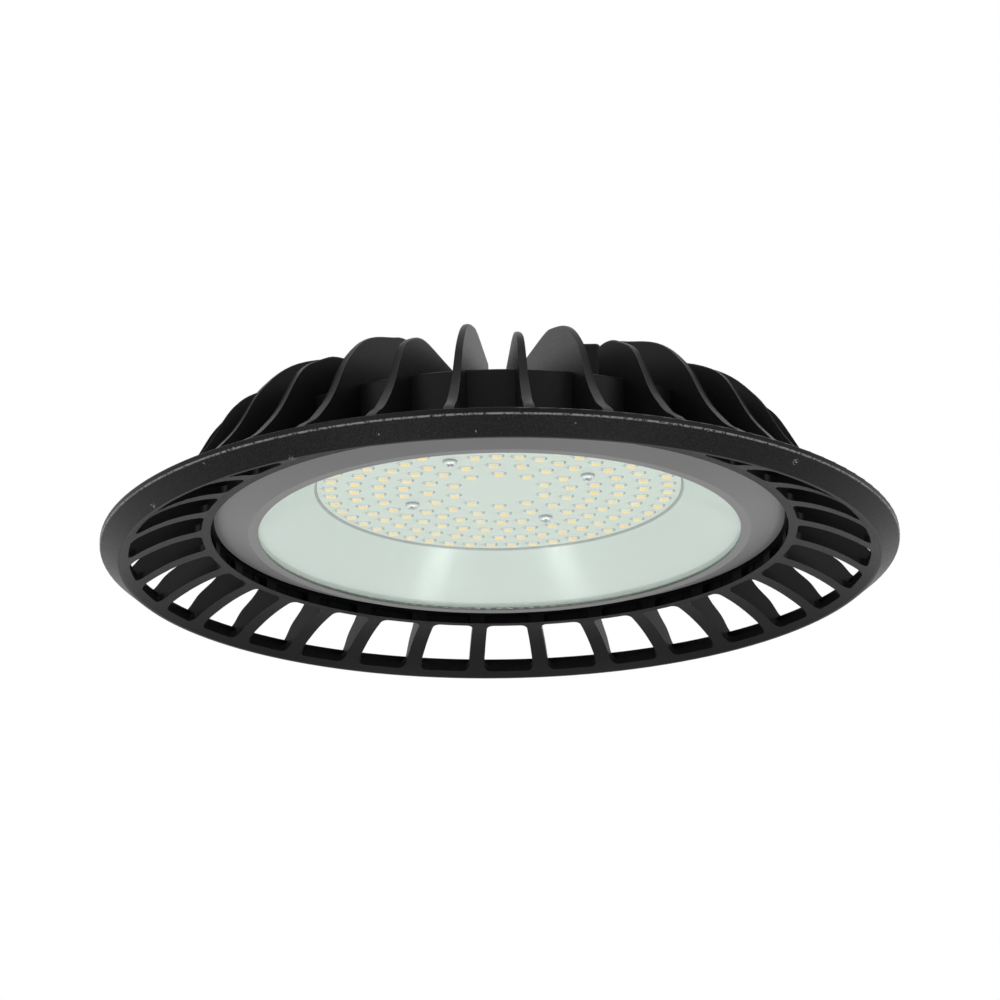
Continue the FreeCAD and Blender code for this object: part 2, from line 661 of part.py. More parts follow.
def gland_nut():
    """The dome nut: a hexagon with a domed end, screwed over the collar."""
    x, y = GLAND_SPOT.x, GLAND_SPOT.y
    low = LID_TOP_Z + GLAND_HEX_H
    nut = hexagon(GLAND_HEX_AF, GLAND_NUT_H, x, y, low)
    dome = turned([(0, low), (GLAND_HEX_AF * 0.6, low), (GLAND_HEX_AF * 0.6, low + GLAND_NUT_H * 0.6),
                   (GLAND_BORE_R + 1, low + GLAND_NUT_H), (0, low + GLAND_NUT_H)])
    dome.translate(V(x, y, 0))
    inside = cylinder(GLAND_THREAD_R - 1, GLAND_COLLAR_H, x, y, low)
    return nut.common(dome).cut([inside, cylinder(GLAND_BORE_R, GLAND_NUT_H, x, y, low)])


def gland_seal():
    x, y = GLAND_SPOT.x, GLAND_SPOT.y
    return tube(GLAND_BORE_R, CABLE_R, GLAND_NUT_H, x, y, LID_TOP_Z + GLAND_HEX_H)


def gland_locknut():
    x, y = GLAND_SPOT.x, GLAND_SPOT.y
    z = LID_Z - LOCKNUT_H
    return hexagon(LOCKNUT_AF, LOCKNUT_H, x, y, z).cut(cylinder(GLAND_THREAD_R, LOCKNUT_H, x, y, z))


def vent_plug():
    x, y = VENT_SPOT.x, VENT_SPOT.y
    cap = cylinder(VENT_CAP_R, VENT_CAP_H, x, y, LID_TOP_Z + VENT_HEX_H)
    cap = cap.makeFillet(1, [edge for edge in cap.Edges
                             if edge.Closed and edge.CenterOfMass.z > LID_TOP_Z + VENT_HEX_H + 1])
    return cap.fuse([hexagon(VENT_HEX_AF, VENT_HEX_H, x, y, LID_TOP_Z),
                     cylinder(VENT_THREAD_R, LID_T + VENT_TAIL, x, y, LID_Z - VENT_TAIL)])


# ---- Driver: its board, parts and wiring ----------------------------------------------------

def standoff_spots():
    return [polar(STANDOFF_CIRCLE_R, angle) for angle in STANDOFF_ANGLES]


def driver_board():
    board = cylinder(DRIVER_R, DRIVER_T, z=DRIVER_Z)
    return board.cut([cylinder(DRIVER_SCREW_R, DRIVER_T, spot.x, spot.y, DRIVER_Z)
                      for spot in standoff_spots()])


def standoffs():
    return [tube(STANDOFF_R, DRIVER_SCREW_R, STANDOFF_H, spot.x, spot.y, CUP_FLOOR_Z)
            for spot in standoff_spots()]


def driver_screws():
    reach = DRIVER_T + STANDOFF_H + CUP_FLOOR_T / 2
    return [pan_screw(spot + V(0, 0, DRIVER_TOP_Z), V(0, 0, -1), DRIVER_HEAD_R, DRIVER_HEAD_H,
                      DRIVER_SCREW_R, reach) for spot in standoff_spots()]


def insulating_sheet():
    sheet = cylinder(DRIVER_R - SHEET_INSET, SHEET_T, z=CUP_FLOOR_Z)
    holes = [cylinder(STANDOFF_R + SHEET_GAP, SHEET_T, spot.x, spot.y, CUP_FLOOR_Z)
             for spot in standoff_spots()]
    holes.append(cylinder(LEAD_HOLE_R + GROMMET_FLANGE_W + SHEET_GAP, SHEET_T, z=CUP_FLOOR_Z))
    return sheet.cut(holes)


TRANSFORMER = V(-10, 6, 0)
CORE_L = 20.0
CORE_W = 11.0
CORE_H = 13.5
CORE_BAR = 3.2             # outer bars of the core
CORE_LEG = 5.0             # middle leg, inside the winding
COIL_SPREAD = 2.2          # winding outside the core, front and back


def transformer_core():
    """A ferrite core: a block with two windows, either side of the middle leg."""
    core = block(CORE_L, CORE_W, CORE_H, TRANSFORMER.x, TRANSFORMER.y, DRIVER_TOP_Z)
    window = (CORE_L - 2 * CORE_BAR - CORE_LEG) / 2
    shift = (CORE_LEG + window) / 2
    holes = [block(window, CORE_W, CORE_H - 2 * CORE_BAR, TRANSFORMER.x + side * shift, TRANSFORMER.y,
                   DRIVER_TOP_Z + CORE_BAR) for side in (-1, 1)]
    return core.cut(holes)


def transformer_coil():
    """The winding on its bobbin, filling the windows and wrapped round the middle leg."""
    height = CORE_H - 2 * CORE_BAR
    z = DRIVER_TOP_Z + CORE_BAR
    coil = block(CORE_L - 2 * CORE_BAR, CORE_W + 2 * COIL_SPREAD, height,
                 TRANSFORMER.x, TRANSFORMER.y, z)
    corners = [edge for edge in coil.Edges if abs(edge.tangentAt(0).z) > 0.99]
    coil = coil.makeFillet(COIL_SPREAD * 0.9, corners)
    return coil.cut(block(CORE_LEG, CORE_W, height, TRANSFORMER.x, TRANSFORMER.y, z))


def capacitors():
    made = []
    for x, y in ((8.5, 15.5), (15.5, 5.0)):
        can = cylinder(5.0, 15.0, x, y, DRIVER_TOP_Z)
        made.append(can.makeFillet(0.8, [edge for edge in can.Edges if edge.Closed]))
    return made


def inductor():
    """A wound ring core lying on the board."""
    ring = tube(6.4, 2.8, 6.0, -12, -11, DRIVER_TOP_Z)
    return ring.makeFillet(1.4, [edge for edge in ring.Edges if edge.Closed])


def rectifier():
    return block(14, 4, 10, 3, -8, DRIVER_TOP_Z)


def power_transistor():
    body = block(10, 3.4, 9, 18, -5, DRIVER_TOP_Z + 3)
    legs = [block(0.9, 0.6, 3, 18 + 2.5 * side, -5, DRIVER_TOP_Z) for side in (-1, 0, 1)]
    return body.fuse(legs)


def terminal_block():
    body = block(12, 8, 10, 8, -16.5, DRIVER_TOP_Z)
    mouths = [Part.makeCylinder(1.3, 5, V(8 + 3.6 * side, -20.5, DRIVER_TOP_Z + 3.5), V(0, 1, 0))
              for side in (-1, 0, 1)]
    screws = [cylinder(1.3, 2, 8 + 3.6 * side, -16, DRIVER_TOP_Z + 8) for side in (-1, 0, 1)]
    return body.cut(mouths + screws)


def lead_xs():
    return (-LEAD_PITCH / 2, LEAD_PITCH / 2)


def led_leads():
    low = PAD_Z + PLUG_H
    return [cylinder(LEAD_R, DRIVER_Z - low, x, 0, low) for x in lead_xs()]


def lead_grommet():
    body = cylinder(LEAD_HOLE_R, GROMMET_PLUG_T, z=CUP_FLOOR_Z - GROMMET_PLUG_T)
    body = body.fuse(cylinder(LEAD_HOLE_R + GROMMET_FLANGE_W, GROMMET_FLANGE_T, z=CUP_FLOOR_Z))
    depth = GROMMET_PLUG_T + GROMMET_FLANGE_T
    return body.cut([cylinder(LEAD_R, depth, x, 0, CUP_FLOOR_Z - GROMMET_PLUG_T) for x in lead_xs()])


def earth_screw():
    spot = V(0, -EARTH_CIRCLE_R, CUP_FLOOR_Z)
    return pan_screw(spot, V(0, 0, -1), EARTH_HEAD_R, EARTH_HEAD_H, EARTH_SCREW_R, EARTH_SCREW_L)


# ---- All the pieces -------------------------------------------------------------------------

os.makedirs("parts", exist_ok=True)

save("housing", housing())

save("led_board", led_board())
save_group("led_chips", led_chips())
save("thermal_pad", thermal_pad())
save_group("board_screws", board_screws())
save("board_connector", block(PLUG_L, PLUG_W, PLUG_H, z=PAD_Z))

save("reflector", reflector())
save("glass", glass())
save("glass_seal", tube(SEAL_R, GLASS_R, GLASS_T, z=LIP_Z))
save("bezel", bezel())
save("bezel_gasket", tube(GASKET_R + GASKET_W / 2, GASKET_R - GASKET_W / 2,
                          FLANGE_Z + GASKET_GROOVE_D - BEZEL_BACK_Z, z=BEZEL_BACK_Z))
save_group("bezel_studs", on_studs(bezel_stud))
save_group("bezel_washers", on_studs(bezel_washer))
save_group("bezel_nuts", on_studs(bezel_nut))

save("lid", lid())
save("lid_gasket", tube(LID_R, CUP_IN_R, LID_GASKET_T, z=CUP_TOP_Z))
save_group("lid_screws", lid_screws())
save("gland_body", gland_body())
save("gland_nut", gland_nut())
save("gland_seal", gland_seal())
save("gland_locknut", gland_locknut())
save("vent_plug", vent_plug())

save("driver_board", driver_board())
save_group("driver_standoffs", standoffs())
save_group("driver_screws", driver_screws())
save("insulating_sheet", insulating_sheet())
save("transformer_core", transformer_core())
save("transformer_coil", transformer_coil())
save_group("capacitors", capacitors())
save("inductor", inductor())
save("rectifier", rectifier())
save("power_transistor", power_transistor())
save("terminal_block", terminal_block())
save_group("led_leads", led_leads())
save("lead_grommet", lead_grommet())
save("earth_screw", earth_screw())
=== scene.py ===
"""High bay light: the looks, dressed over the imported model.  Metres, +Z up, light shining down."""
import bmesh
import bpy
import math
from mathutils import Matrix, Vector


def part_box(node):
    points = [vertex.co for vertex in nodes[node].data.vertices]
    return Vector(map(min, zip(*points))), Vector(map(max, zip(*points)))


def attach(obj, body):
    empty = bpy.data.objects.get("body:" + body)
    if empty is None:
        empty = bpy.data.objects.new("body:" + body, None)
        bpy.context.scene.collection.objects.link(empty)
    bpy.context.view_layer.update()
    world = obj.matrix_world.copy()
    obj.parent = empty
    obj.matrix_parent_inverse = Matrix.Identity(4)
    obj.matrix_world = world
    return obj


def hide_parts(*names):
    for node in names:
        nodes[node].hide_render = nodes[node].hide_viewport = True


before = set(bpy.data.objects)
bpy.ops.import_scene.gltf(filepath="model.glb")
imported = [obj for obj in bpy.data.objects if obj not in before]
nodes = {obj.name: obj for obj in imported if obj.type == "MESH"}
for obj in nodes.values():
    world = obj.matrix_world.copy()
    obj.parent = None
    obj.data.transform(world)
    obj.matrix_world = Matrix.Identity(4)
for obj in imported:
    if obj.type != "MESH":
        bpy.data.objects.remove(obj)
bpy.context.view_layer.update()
scene = bpy.context.scene
scene.view_settings.view_transform = "Standard"

MM = 0.001                 # sizes of small features are written in millimetres


# ---- Camera ------------------------------------------------------------------------------------
# The light hangs overhead, so the camera stands in front of it and below, looks up at its rim,
# and is rolled a little to the right.

CAMERA_DISTANCE = 1.2669
CAMERA_BELOW = math.radians(18.96)
CAMERA_ROLL = math.radians(0.72)
CAMERA_AIM = Vector((0, 0, 0.015))
CAMERA_LENS = 109.58       # millimetres, as the sensor's width is
CAMERA_SENSOR = 36
CAMERA_SHIFT_X = 0.0003
CAMERA_SHIFT_Y = 0.0376


def add_camera():
    forward = Vector((0, math.cos(CAMERA_BELOW), math.sin(CAMERA_BELOW)))
    side = Vector((1, 0, 0))
    up = side.cross(forward)
    right = side * math.cos(CAMERA_ROLL) - up * math.sin(CAMERA_ROLL)
    above = up * math.cos(CAMERA_ROLL) + side * math.sin(CAMERA_ROLL)
    data = bpy.data.cameras.new("camera")
    data.lens = CAMERA_LENS
    data.sensor_width = CAMERA_SENSOR
    data.shift_x = CAMERA_SHIFT_X
    data.shift_y = CAMERA_SHIFT_Y
    camera = bpy.data.objects.new("camera", data)
    scene.collection.objects.link(camera)
    axes = Matrix((right, above, -forward)).transposed().to_4x4()
    camera.matrix_world = Matrix.Translation(CAMERA_AIM - forward * CAMERA_DISTANCE) @ axes
    scene.camera = camera


add_camera()


# ---- Studio ------------------------------------------------------------------------------------
# A white room with four soft lamps.  The two narrow ones underneath shine up into the dish, and
# the two wide ones stand in front, a little higher than the light, for the fins and the rim.

ROOM_FILL = 0.41           # the room's light on the object; the room itself shows white
SIDES = (("left", -1), ("right", 1))
LIGHT_CENTRE = (0, 0, 0.03)
BOX_POWER = 1.3            # watts
FRONT_POWER = 8


def add_world():
    world = bpy.data.worlds.new("room")
    scene.world = world
    world.use_nodes = True
    tree = world.node_tree
    tree.nodes.clear()
    out = tree.nodes.new("ShaderNodeOutputWorld")
    back = tree.nodes.new("ShaderNodeBackground")
    back.inputs["Color"].default_value = (1, 1, 1, 1)
    path = tree.nodes.new("ShaderNodeLightPath")
    first = tree.nodes.new("ShaderNodeMath")
    first.operation = "MAXIMUM"
    second = tree.nodes.new("ShaderNodeMath")
    second.operation = "MAXIMUM"
    level = tree.nodes.new("ShaderNodeMath")
    level.operation = "MULTIPLY_ADD"
    level.inputs[1].default_value = 1 - ROOM_FILL
    level.inputs[2].default_value = ROOM_FILL
    tree.links.new(path.outputs["Is Camera Ray"], first.inputs[0])
    tree.links.new(path.outputs["Is Glossy Ray"], first.inputs[1])
    tree.links.new(first.outputs[0], second.inputs[0])
    tree.links.new(path.outputs["Is Transmission Ray"], second.inputs[1])
    tree.links.new(second.outputs[0], level.inputs[0])
    tree.links.new(level.outputs[0], back.inputs["Strength"])
    tree.links.new(back.outputs[0], out.inputs["Surface"])


def add_lamp(name, place, aim, width, height, power):
    data = bpy.data.lights.new(name, "AREA")
    data.shape = "RECTANGLE"
    data.size = width
    data.size_y = height
    data.energy = power
    lamp = bpy.data.objects.new(name, data)
    lamp.location = place
    lamp.rotation_mode = "QUATERNION"
    lamp.rotation_quaternion = (Vector(aim) - Vector(place)).to_track_quat("-Z", "Y")
    lamp.visible_camera = False
    scene.collection.objects.link(lamp)


add_world()
for name, side in SIDES:
    add_lamp("box_" + name, (side * 0.27, -0.03, -0.92), LIGHT_CENTRE, 0.34, 0.08, BOX_POWER)
for name, side in SIDES:
    add_lamp("front_" + name, (side * 1.5, -1.7, 0.5), LIGHT_CENTRE, 1.2, 1.2, FRONT_POWER)


# ---- Casting and lid: black powder coat --------------------------------------------------------
# Die-cast aluminium, blasted and powder coated semi-gloss black.  The coat is grainy, with painted glints on
# its grains, strongest on the rim's sloping band; it is worn thin along the rim's crease, and chipped where
# the rim was knocked.

def srgb(red, green, blue):
    """A colour given as screen levels 0 to 255."""
    def linear(level):
        share = level / 255
        return share / 12.92 if share <= 0.04045 else ((share + 0.055) / 1.055) ** 2.4
    return (linear(red), linear(green), linear(blue), 1)


class Finish:
    """A material and short calls that add nodes to its tree."""

    def __init__(self, name, color, rough, metal=0.0, specular=0.5):
        self.material = bpy.data.materials.new(name)
        self.material.use_nodes = True
        self.tree = self.material.node_tree
        self.shader = self.tree.nodes["Principled BSDF"]
        self.shader.inputs["Base Color"].default_value = color
        self.shader.inputs["Roughness"].default_value = rough
        self.shader.inputs["Metallic"].default_value = metal
        self.shader.inputs["Specular IOR Level"].default_value = specular
        coords = self.tree.nodes.new("ShaderNodeTexCoord")
        self.place = coords.outputs["Object"]

    def feed(self, socket, value):
        if hasattr(value, "is_linked"):
            self.tree.links.new(value, socket)
        else:
            socket.default_value = value

    def noise(self, per_mm, detail=2.0, roughness=0.5):
        """Noise from 0 to 1; per_mm is how many lumps fit in a millimetre."""
        node = self.tree.nodes.new("ShaderNodeTexNoise")
        node.inputs["Scale"].default_value = per_mm / MM
        node.inputs["Detail"].default_value = detail
        node.inputs["Roughness"].default_value = roughness
        self.tree.links.new(self.place, node.inputs["Vector"])
        return node.outputs["Fac"]

    def cells(self, per_mm):
        """Distance to the nearest of many scattered points."""
        node = self.tree.nodes.new("ShaderNodeTexVoronoi")
        node.inputs["Scale"].default_value = per_mm / MM
        self.tree.links.new(self.place, node.inputs["Vector"])
        return node.outputs["Distance"]

    def math(self, kind, first, second=0.0):
        node = self.tree.nodes.new("ShaderNodeMath")
        node.operation = kind
        self.feed(node.inputs[0], first)
        self.feed(node.inputs[1], second)
        return node.outputs[0]

    def spread(self, value, low, high, out_low=0.0, out_high=1.0):
        """The value's range low..high carried over to another range, and held there."""
        node = self.tree.nodes.new("ShaderNodeMapRange")
        self.feed(node.inputs["Value"], value)
        node.inputs["From Min"].default_value = low
        node.inputs["From Max"].default_value = high
        node.inputs["To Min"].default_value = out_low
        node.inputs["To Max"].default_value = out_high
        return node.outputs[0]

    def mix(self, share, first, second):
        node = self.tree.nodes.new("ShaderNodeMix")
        node.data_type = "RGBA"
        self.feed(node.inputs["Factor"], share)
        self.feed(node.inputs["A"], first)
        self.feed(node.inputs["B"], second)
        return [out for out in node.outputs if out.type == "RGBA"][0]

    def axes(self):
        """X, Y and Z of the place, in metres."""
        node = self.tree.nodes.new("ShaderNodeSeparateXYZ")
        self.tree.links.new(self.place, node.inputs[0])
        return node.outputs

    def radius(self):
        x, y, _ = self.axes()
        return self.math("SQRT", self.math("ADD", self.math("MULTIPLY", x, x), self.math("MULTIPLY", y, y)))

    def near(self, spot, reach):
        """1 at a spot, falling to 0 at its reach."""
        node = self.tree.nodes.new("ShaderNodeVectorMath")
        node.operation = "DISTANCE"
        self.tree.links.new(self.place, node.inputs[0])
        node.inputs[1].default_value = spot
        return self.spread(node.outputs["Value"], 0, reach, 1, 0)

    def bump(self, height, depth_mm):
        node = self.tree.nodes.new("ShaderNodeBump")
        node.inputs["Distance"].default_value = depth_mm * MM
        node.inputs["Strength"].default_value = 1
        self.tree.links.new(height, node.inputs["Height"])
        self.tree.links.new(node.outputs[0], self.shader.inputs["Normal"])

    def color(self, value):
        self.feed(self.shader.inputs["Base Color"], value)

    def rough(self, value):
        self.feed(self.shader.inputs["Roughness"], value)


def cover(name, material):
    """Gives a CAD node its finish."""
    slots = nodes[name].material_slots
    for slot in slots:
        slot.material = material
    if not slots:
        nodes[name].data.materials.append(material)


RIM_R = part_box("housing")[1].x
RIM_CREASE_Z = 6.3 * MM    # where the rim's sloping band meets its upright strip
BAND_IN_R = RIM_R - 7.8 * MM
NEAR_EDGE_R = RIM_R - 1.6 * MM
COAT = srgb(13, 13, 14)
COAT_DRIFT = srgb(18, 18, 19)
# the colour of the painted glints on the coat's grains
COAT_PAINTED_GLINT = srgb(84, 84, 84)
COAT_WORN = srgb(158, 158, 156)
BARE = srgb(205, 205, 202)
# Knocks on the rim: radius, angle, height and reach, in millimetres and degrees.
NICKS = ((156.6, -119.3, 0.1, 3.2), (161.9, -46.1, 3.7, 2.6), (160.5, -106.0, 2.6, 1.2),
         (163.4, -133.0, 5.0, 1.2), (158.8, -148.0, 1.2, 2.6), (164.9, -127.0, 6.4, 1.4),
         (164.6, -62.0, 6.2, 1.4), (162.4, -80.0, 4.2, 1.0), (159.4, -93.0, 1.5, 1.1))


def black_coat():
    coat = Finish("black_coat", COAT, 0.42, specular=0.13)
    radius = coat.radius()
    height = coat.axes()[2]
    band = coat.math("MULTIPLY", coat.spread(radius, BAND_IN_R, BAND_IN_R + 1.2 * MM),
                     coat.spread(height, RIM_CREASE_Z + 0.2 * MM, RIM_CREASE_Z))
    grain = coat.noise(1.1, 3, 0.65)
    lumps = coat.noise(2.3, 1)
    drift = coat.noise(0.02, 3)
    color = coat.mix(coat.spread(drift, 0.35, 0.65, 0, 0.5), COAT, COAT_DRIFT)
    grains = coat.spread(coat.cells(2.2), 0.3, 0.12)
    # Painted glint: lighter grains in the colour stand in for sparkle, stronger on the rim's sloping band.
    painted_glint = coat.math("MULTIPLY", grains, coat.spread(band, 0, 1, 0.1, 0.75))
    color = coat.mix(painted_glint, color, COAT_PAINTED_GLINT)
    crease = coat.math("ABSOLUTE", coat.math("SUBTRACT", height, RIM_CREASE_Z))
    worn = coat.math("MULTIPLY", coat.spread(crease, 0.45 * MM, 0.1 * MM),
                     coat.spread(radius, NEAR_EDGE_R, NEAR_EDGE_R + 0.6 * MM))
    worn = coat.math("MULTIPLY", worn, coat.spread(coat.noise(0.9, 4, 0.7), 0.4, 0.52))
    color = coat.mix(worn, color, COAT_WORN)
    chips = None
    for r, degrees, z, reach in NICKS:
        angle = math.radians(degrees)
        spot = (r * MM * math.cos(angle), r * MM * math.sin(angle), z * MM)
        here = coat.near(spot, reach * MM)
        chips = coat.math("MAXIMUM", chips, here) if chips else here
    ragged = coat.math("MULTIPLY", chips, coat.spread(coat.noise(1.3, 4, 0.8), 0.45, 0.62))
    bare = coat.spread(ragged, 0.3, 0.5)
    coat.color(coat.mix(bare, color, BARE))
    coat.rough(coat.spread(lumps, 0.3, 0.7, 0.33, 0.46))
    rise = coat.math("MULTIPLY", grain, coat.spread(band, 0, 1, 0.45, 1))
    coat.bump(coat.math("SUBTRACT", rise, bare), 0.09)
    return coat.material


COAT_FINISH = black_coat()
cover("housing", COAT_FINISH)
cover("lid", COAT_FINISH)


# ---- Bezel: grey paint -------------------------------------------------------------------------
# A spun aluminium ring, painted satin grey, that holds the glass against its seal.  Its face
# slopes like a dish, and studs on its back draw it up to the casting's foot.

def grey_paint():
    paint = Finish("grey_paint", srgb(128, 128, 128), 0.38, specular=0.4)
    fine = paint.noise(1.6, 3, 0.6)
    drift = paint.noise(0.025, 3)
    color = paint.mix(drift, srgb(127, 127, 127), srgb(138, 138, 138))
    speck = paint.spread(paint.cells(0.16), 0.035, 0.02)
    paint.color(paint.mix(paint.math("MULTIPLY", speck, 0.5), color, srgb(170, 170, 170)))
    paint.rough(paint.spread(fine, 0.3, 0.7, 0.34, 0.46))
    paint.bump(fine, 0.02)
    return paint.material


cover("bezel", grey_paint())


# ---- Reflector ---------------------------------------------------------------------------------
# A spun aluminium cone, enamelled gloss white inside.  It stands on the glass, and its upper end
# is turned in round the LED board's edge, where a thin ring of painted shade darkens it.

LIP_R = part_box("led_board")[1].x + 0.95 * MM    # the turned-in lip at the board's edge, where a ring of painted shade starts


def white_enamel():
    enamel = Finish("white_enamel", srgb(233, 246, 239), 0.2, specular=0.5)
    drift = enamel.noise(0.012, 2)
    white = enamel.mix(drift, srgb(214, 232, 222), srgb(222, 238, 229))
    # Painted shade: a thin darker ring on the lip where it meets the board.
    lip_painted_shade = enamel.spread(enamel.radius(), LIP_R + 0.3 * MM, LIP_R)
    enamel.color(enamel.mix(lip_painted_shade, white, srgb(104, 120, 112)))
    peel = enamel.noise(0.25, 2)
    enamel.rough(enamel.spread(peel, 0.3, 0.7, 0.17, 0.24))
    enamel.bump(peel, 0.012)
    return enamel.material


cover("reflector", white_enamel())


# ---- Glass -------------------------------------------------------------------------------------
# Toughened float glass, 4 mm, with a faint green tint.  Light for the room behind it passes
# straight through; what is seen through it is bent as real glass bends it.

def clear_glass():
    glass = Finish("clear_glass", (0.972, 1, 0.985, 1), 0.0, specular=0.5)
    glass.shader.inputs["Transmission Weight"].default_value = 1
    glass.shader.inputs["IOR"].default_value = 1.5
    tree = glass.tree
    path = tree.nodes.new("ShaderNodeLightPath")
    straight = tree.nodes.new("ShaderNodeBsdfTransparent")
    straight.inputs["Color"].default_value = (0.95, 0.985, 0.967, 1)
    choice = tree.nodes.new("ShaderNodeMixShader")
    light = glass.math("MAXIMUM", path.outputs["Is Shadow Ray"], path.outputs["Is Diffuse Ray"])
    out = tree.nodes["Material Output"]
    tree.links.new(light, choice.inputs[0])
    tree.links.new(glass.shader.outputs[0], choice.inputs[1])
    tree.links.new(straight.outputs[0], choice.inputs[2])
    tree.links.new(choice.outputs[0], out.inputs["Surface"])
    return glass.material


cover("glass", clear_glass())


# ---- LED board ---------------------------------------------------------------------------------
# An aluminium-cored board with white solder mask, its tracks just showing through, and black
# printed marks round each LED: an outline, a bracket, a minus sign and a bar for the cathode.

def plain_finish(name, color, rough, metal=0.0, specular=0.5, grain=1.2, depth=0.01, change=0.12):
    """A moulded, rolled or cast surface: fine grain, uneven gloss and a slight drift of colour."""
    finish = Finish(name, color, rough, metal, specular)
    drift = finish.noise(0.03, 3)
    darker = tuple(part * (1 - change) for part in color[:3]) + (1,)
    finish.color(finish.mix(drift, darker, color))
    fine = finish.noise(grain, 3)
    finish.rough(finish.spread(fine, 0.3, 0.7, max(rough - 0.05, 0.02), rough + 0.06))
    finish.bump(fine, depth)
    return finish.material


SHARP_EDGE = math.radians(35)    # a bend sharper than this shows as an edge


def solids(name):
    """The lowest and highest corner of each separate solid in a CAD node, in a fixed order."""
    mesh = nodes[name].data
    form = bmesh.new()
    form.from_mesh(mesh)
    bmesh.ops.remove_doubles(form, verts=form.verts, dist=1e-6)
    form.verts.ensure_lookup_table()
    seen = set()
    boxes = []
    for start in form.verts:
        if start.index in seen:
            continue
        seen.add(start.index)
        heap = [start]
        low = start.co.copy()
        high = start.co.copy()
        while heap:
            vert = heap.pop()
            low = Vector(map(min, low, vert.co))
            high = Vector(map(max, high, vert.co))
            for edge in vert.link_edges:
                other = edge.other_vert(vert)
                if other.index not in seen:
                    seen.add(other.index)
                    heap.append(other)
        boxes.append((low, high))
    form.free()
    return sorted(boxes, key=lambda pair: tuple(round(part, 5) for part in pair[0]))


def centre(pair):
    return (pair[0] + pair[1]) / 2


def make_piece(name, form, materials, replaced=()):
    """Turns a bmesh into a piece that rides on the light."""
    mesh = bpy.data.meshes.new(name)
    form.to_mesh(mesh)
    form.free()
    for material in materials:
        mesh.materials.append(material)
    mesh.shade_smooth()
    mesh.set_sharp_from_angle(angle=SHARP_EDGE)
    piece = bpy.data.objects.new(name, mesh)
    scene.collection.objects.link(piece)
    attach(piece, "root")
    if replaced:
        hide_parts(*replaced)
    return piece


BOARD_FACE_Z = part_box("led_board")[0].z
LED_BOXES = solids("led_chips")
PROUD = 0.02 * MM          # height of the print above the board
PRINT_LINE = 0.24 * MM
OUTLINE_X = 2.55 * MM      # half length and half width of the outline round an LED
OUTLINE_Y = 1.75 * MM
TRACK_W = 0.24 * MM
SPOKES = 14                # tracks that run outwards, each in one of four steps
SPOKE_IN_R = 23.5 * MM
SPOKE_STEP = 10.3 * MM
SPOKE_L = 9.8 * MM


def solder_mask():
    mask = Finish("solder_mask", srgb(236, 246, 238), 0.34, specular=0.45)
    drift = mask.noise(0.02, 3)
    mask.color(mask.mix(drift, srgb(231, 245, 232), srgb(237, 249, 238)))
    fine = mask.noise(0.8, 2)
    mask.rough(mask.spread(fine, 0.3, 0.7, 0.3, 0.4))
    mask.bump(fine, 0.008)
    return mask.material


def add_strip(form, x0, y0, x1, y1, z):
    corners = [form.verts.new((x, y, z)) for x, y in ((x0, y0), (x0, y1), (x1, y1), (x1, y0))]
    form.faces.new(corners)


def board_print():
    ink = plain_finish("print_ink", srgb(40, 48, 45), 0.6, specular=0.2)
    form = bmesh.new()
    z = BOARD_FACE_Z - PROUD
    line = PRINT_LINE
    for pair in LED_BOXES:
        x, y, _ = centre(pair)
        left, right = x - OUTLINE_X, x + OUTLINE_X
        near, far = y - OUTLINE_Y, y + OUTLINE_Y
        add_strip(form, left, near, right, near + line, z)
        add_strip(form, left, far - line, right, far, z)
        add_strip(form, right - line, near, right, far, z)
        gap = OUTLINE_Y * 0.35
        add_strip(form, left, near, left + line, y - gap, z)
        add_strip(form, left, y + gap, left + line, far, z)
        tall = OUTLINE_Y * 0.7
        bracket = left - 0.45 * MM
        add_strip(form, bracket, y - tall, bracket + line, y + tall, z)
        add_strip(form, bracket, y - tall, left, y - tall + line, z)
        add_strip(form, bracket, y + tall - line, left, y + tall, z)
        dash = left - 1.2 * MM
        add_strip(form, dash - 0.35 * MM, y - 0.14 * MM, dash + 0.35 * MM, y + 0.14 * MM, z)
        bar = right + 0.3 * MM
        add_strip(form, bar - 0.16 * MM, y - tall, bar + 0.16 * MM, y + tall, z)
    return make_piece("board_print", form, [ink])


def board_tracks():
    """Tracks under the mask: one arc joins each LED to the next on its ring, with a few spokes."""
    track = Finish("mask_over_track", srgb(222, 235, 228), 0.36, specular=0.45)
    fine = track.noise(0.8, 2)
    track.color(track.mix(fine, srgb(208, 222, 214), srgb(214, 227, 219)))
    track.bump(fine, 0.008)
    form = bmesh.new()
    z = BOARD_FACE_Z - PROUD / 2
    half = TRACK_W / 2
    spots = sorted((round(centre(pair).xy.length, 4), math.atan2(centre(pair).y, centre(pair).x))
                   for pair in LED_BOXES)
    for (r0, a0), (r1, a1) in zip(spots, spots[1:]):
        if abs(r0 - r1) > 0.5 * MM or a1 - a0 > 0.9:
            continue
        last = None
        for i in range(7):
            share = 0.22 + 0.56 * i / 6
            angle = a0 + (a1 - a0) * share
            pair = [form.verts.new((r * math.cos(angle), r * math.sin(angle), z))
                    for r in (r0 - half, r0 + half)]
            if last:
                form.faces.new((last[0], pair[0], pair[1], last[1]))
            last = pair
    for i in range(SPOKES):
        angle = math.radians(11 + 360 / SPOKES * i)
        across = Vector((-math.sin(angle), math.cos(angle), 0)) * half
        inner = Vector((math.cos(angle), math.sin(angle), 0)) * (SPOKE_IN_R + SPOKE_STEP * (i % 4))
        outer = inner * (1 + SPOKE_L / inner.length)
        lift = Vector((0, 0, z))
        corners = [inner - across, outer - across, outer + across, inner + across]
        form.faces.new([form.verts.new(corner + lift) for corner in corners])
    return make_piece("board_tracks", form, [track.material])


cover("led_board", solder_mask())
board_print()
board_tracks()


# ---- LEDs --------------------------------------------------------------------------------------
# Surface-mount packages: a white moulded frame with sloping walls round a pool of yellow phosphor
# in silicone, soldered on a bright pad at each end.  One corner is cut to mark the cathode.

